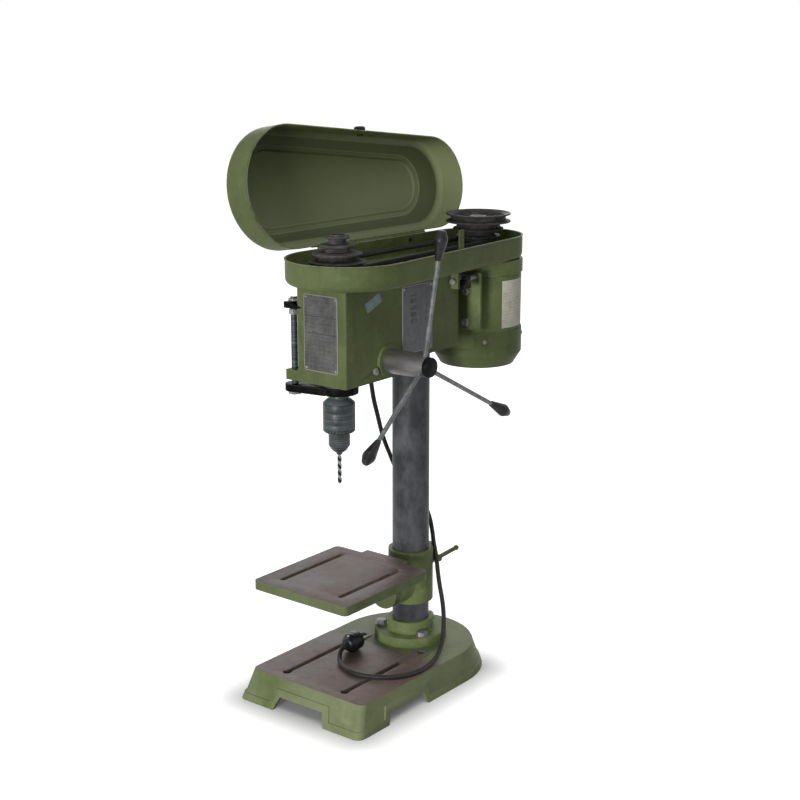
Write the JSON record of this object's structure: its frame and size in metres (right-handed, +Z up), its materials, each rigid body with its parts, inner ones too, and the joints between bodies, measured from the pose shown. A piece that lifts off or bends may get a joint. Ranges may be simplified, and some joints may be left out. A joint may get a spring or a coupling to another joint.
{
  "type": "belt driven bench pillar drill",
  "caption": "Green bench pillar drill: stepped pulleys and belt under a hinged lid, three-arm feed hub, quill with depth stop, tilting slotted table, slotted base",
  "frame": {"origin": "on the bench plane, midway between the two bench bolt holes of the base", "axes": "+Z up along the column, -Y towards the operator, +X to the operator's right, where the feed arms are"},
  "size_m": [0.3377, 0.557, 0.8864],
  "materials": {
    "green_paint": "worn olive green paint, satin",
    "machined_iron": "machined face with brown rust film",
    "column_steel": "dark streaked steel",
    "bright_steel": "zinc-grey, a little worn",
    "spindle_steel": "blue-grey ground steel",
    "dark_iron": "dark, oily",
    "plate_metal": "grey etched sheet",
    "cream_label": "aged cream, blank",
    "black_plastic": "black, worn",
    "belt_rubber": "dull black",
    "lead_rubber": "dull dark grey"
  },
  "bodies": {
    "frame": {"base": "green_paint", "column_flange": "green_paint", "flange_bolts": "bright_steel", "column": "column_steel", "head": "green_paint", "head_screws": "bright_steel", "belt_guard": "green_paint", "guard_screws": "dark_iron", "guard_hinge_leaves": "green_paint", "scale_plate": "plate_metal", "speed_plate": "plate_metal", "plate_rivets": "bright_steel", "pulley_bearings": "bright_steel", "spring_housing": "green_paint", "return_spring": "spindle_steel", "switch_box": "black_plastic", "cord_gland": "black_plastic", "cord": "lead_rubber", "plug_body": "black_plastic", "plug_pins": "bright_steel", "v_belt": "belt_rubber"},
    "rocker": {"switch_rocker": "black_plastic"},
    "belt_lock": {"belt_lock_knob": "black_plastic"},
    "motor": {"motor_plate": "green_paint", "motor_bolts": "bright_steel", "slide_rods": "bright_steel", "motor_body": "green_paint", "motor_bell": "green_paint", "motor_cap": "green_paint", "motor_bearings": "bright_steel", "rating_plate": "cream_label"},
    "rotor": {"motor_shaft": "spindle_steel", "motor_pulley": "dark_iron"},
    "pulley": {"spindle_pulley": "dark_iron", "drive_sleeve": "spindle_steel"},
    "quill_group": {"quill": "spindle_steel", "quill_rack": "spindle_steel", "quill_bearings": "bright_steel", "depth_arm": "dark_iron", "depth_rod": "spindle_steel", "depth_nuts": "bright_steel", "depth_pointer": "dark_iron"},
    "stop": {"stop_nut": "bright_steel"},
    "spindle_group": {"spindle": "spindle_steel", "chuck_body": "spindle_steel", "chuck_jaws": "spindle_steel", "drill_bit": "dark_iron"},
    "sleeve": {"chuck_sleeve": "spindle_steel"},
    "feed": {"feed_shaft": "spindle_steel", "feed_hub": "dark_iron", "feed_arms": "bright_steel", "feed_knobs": "black_plastic"},
    "lid_group": {"lid": "green_paint", "lid_knob": "black_plastic", "lid_hinge_leaves": "green_paint"},
    "bracket": {"table_bracket": "green_paint", "tilt_bolt": "bright_steel"},
    "table_group": {"table": "machined_iron"},
    "clamp": {"clamp_lever": "green_paint"}
  },
  "joints": [
    {"name": "quill_feed", "type": "slide", "parent": "frame", "child": "quill_group", "axis": [0, 0, -1], "range_m": [0, 0.083], "stiffness_N_per_m": 150, "springref_m": -0.3},
    {"name": "feed_turn", "type": "hinge", "parent": "frame", "child": "feed", "pos_m": [0, -0.0683, 0.5404], "axis": [1, 0, 0], "range_deg": [0, 264.4]},
    {"name": "motor_spin", "type": "hinge", "parent": "motor", "child": "rotor", "pos_m": [0, 0.2302, 0.6], "axis": [0, 0, 1], "continuous": true},
    {"name": "pulley_spin", "type": "hinge", "parent": "frame", "child": "pulley", "pos_m": [0, -0.127, 0.7], "axis": [0, 0, 1], "continuous": true},
    {"name": "spindle_spin", "type": "hinge", "parent": "quill_group", "child": "spindle_group", "pos_m": [0, -0.127, 0.5], "axis": [0, 0, 1], "continuous": true},
    {"name": "chuck_turn", "type": "hinge", "parent": "spindle_group", "child": "sleeve", "pos_m": [0, -0.127, 0.457], "axis": [0, 0, 1], "range_deg": [-180, 180]},
    {"name": "lid_hinge", "type": "hinge", "parent": "frame", "child": "lid_group", "pos_m": [-0.09764, -0.09616, 0.6963], "axis": [0.0566, 0.9984, 0], "range_deg": [0, 99.2]},
    {"name": "table_height", "type": "slide", "parent": "frame", "child": "bracket", "axis": [0, 0, 1], "range_m": [-0.03, 0.015]},
    {"name": "table_tilt", "type": "hinge", "parent": "bracket", "child": "table_group", "pos_m": [0, -0.018, 0.143], "axis": [0, 1, 0], "range_deg": [-45, 45]},
    {"name": "table_clamp", "type": "hinge", "parent": "bracket", "child": "clamp", "pos_m": [0, 0.097, 0.172], "axis": [1, 0, 0], "range_deg": [-60, 60]},
    {"name": "motor_slide", "type": "slide", "parent": "frame", "child": "motor", "axis": [0, -1, 0], "range_m": [0, 0.01]},
    {"name": "belt_lock_turn", "type": "hinge", "parent": "frame", "child": "belt_lock", "pos_m": [0.05, 0.109, 0.635], "axis": [1, 0, 0], "range_deg": [-180, 180]},
    {"name": "stop_nut_turn", "type": "hinge", "parent": "quill_group", "child": "stop", "pos_m": [-0.0636, -0.154, 0.615], "axis": [0, 0, 1], "range_deg": [-180, 180]},
    {"name": "switch_rock", "type": "hinge", "parent": "frame", "child": "rocker", "pos_m": [-0.0646, -0.03, 0.611], "axis": [0, 1, 0], "range_deg": [0, 14]}
  ],
  "couplings": [
    {"joint": "feed_turn", "follows": "quill_feed", "rad_per_m": 55.556},
    {"joint": "pulley_spin", "follows": "motor_spin", "ratio": 0.73333},
    {"joint": "spindle_spin", "follows": "motor_spin", "ratio": 0.73333}
  ]
}
